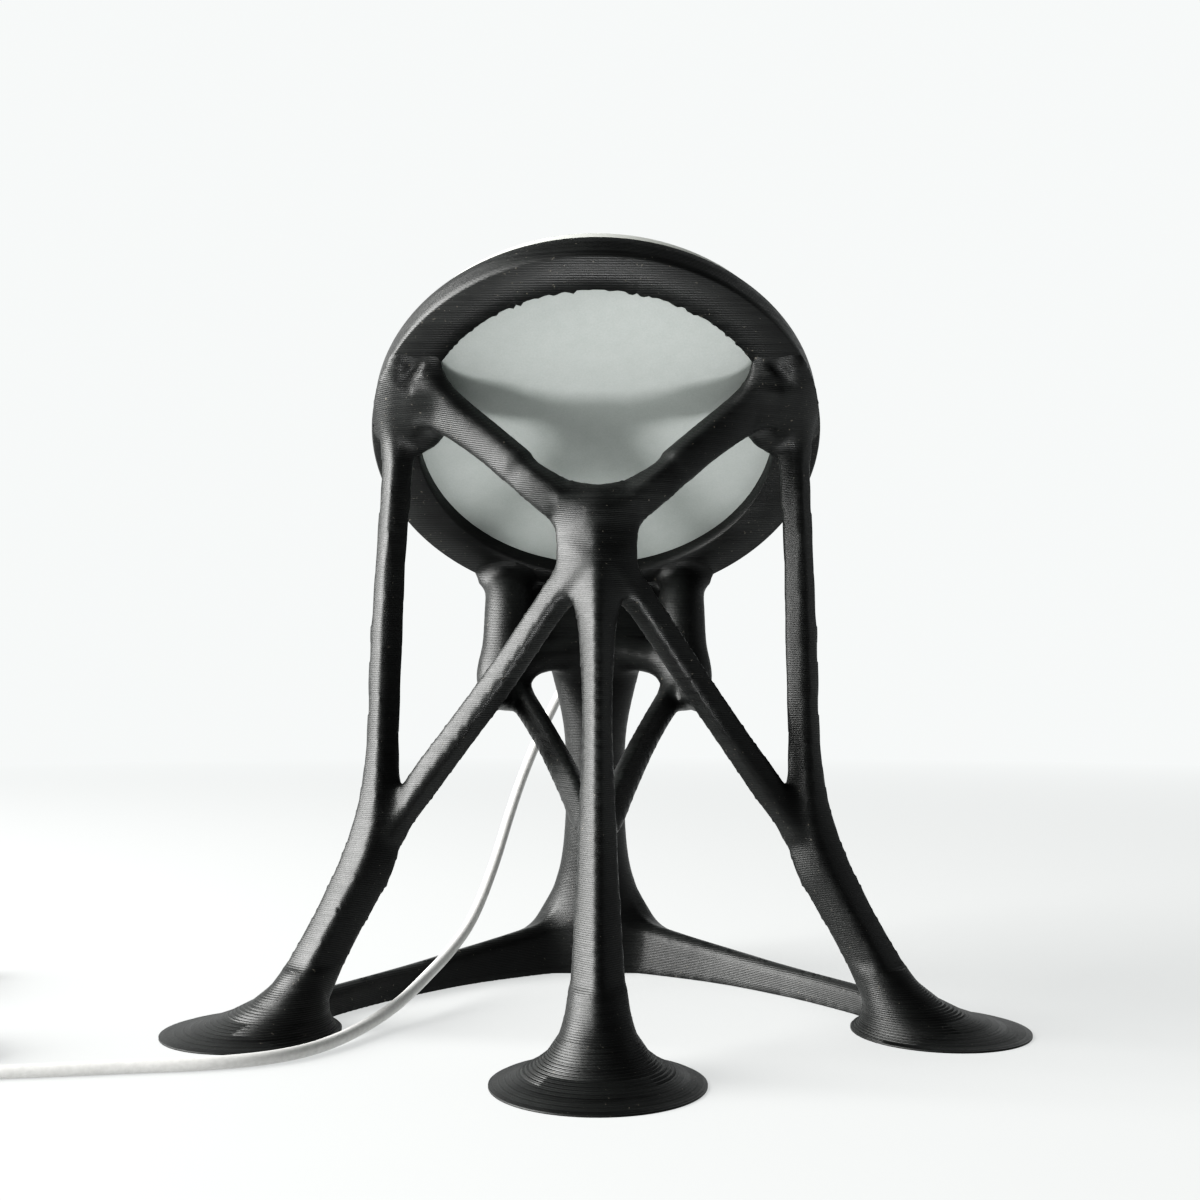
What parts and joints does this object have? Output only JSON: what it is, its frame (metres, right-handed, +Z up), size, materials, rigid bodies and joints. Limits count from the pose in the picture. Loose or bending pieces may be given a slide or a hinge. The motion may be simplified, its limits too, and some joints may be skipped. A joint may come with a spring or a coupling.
{
  "type": "wireless charging stand",
  "caption": "Round wireless charging pad held tilted in the ring seat of an organic printed stand with flared feet, with a thin lead and plug.",
  "frame": {"origin": "on the floor, at the middle of the stand's own box, lead left out", "axes": "+X to the right along the line between the side feet, +Y from the single front foot to the rear column, +Z up"},
  "size_m": [0.2417, 0.1299, 0.154],
  "materials": {
    "black_print": "satin layered print",
    "shell_white": "fine matt grain",
    "grey_silicone": "soft matt",
    "inner_plastic": "natural moulded",
    "ferrite": "dull sintered",
    "copper": "enamelled winding",
    "board_green": "solder mask",
    "chip_black": "moulded epoxy",
    "capacitor_tan": "ceramic",
    "lamp_clear": "clear moulded",
    "wire_red": "insulated wire",
    "lead_white": "smooth soft jacket",
    "tie_grey": "woven strap",
    "plug_steel": "stamped steel",
    "tongue_white": "moulded",
    "contact_gold": "plated"
  },
  "bodies": {
    "root": {"printed_stand": "black_print", "pad_base_shell": "shell_white", "pad_top_cover": "shell_white", "top_grip_ring": "grey_silicone", "coil_carrier": "inner_plastic", "ferrite_sheet": "ferrite", "charging_coil": "copper", "coil_leads": "copper", "circuit_board": "board_green", "control_chip": "chip_black", "bridge_chips": "chip_black", "tuning_capacitors": "capacitor_tan", "supply_capacitors": "capacitor_tan", "buck_inductor": "ferrite", "status_lamp": "lamp_clear", "light_pipe": "lamp_clear", "supply_wires": "wire_red", "pad_boot": "lead_white", "charging_lead": "lead_white", "lead_coil": "lead_white", "lead_tie": "tie_grey", "lead_tail": "lead_white", "plug_boot": "lead_white", "plug_body": "shell_white", "plug_shell": "plug_steel", "plug_tongue": "tongue_white", "plug_contacts": "contact_gold"}
  },
  "joints": []
}
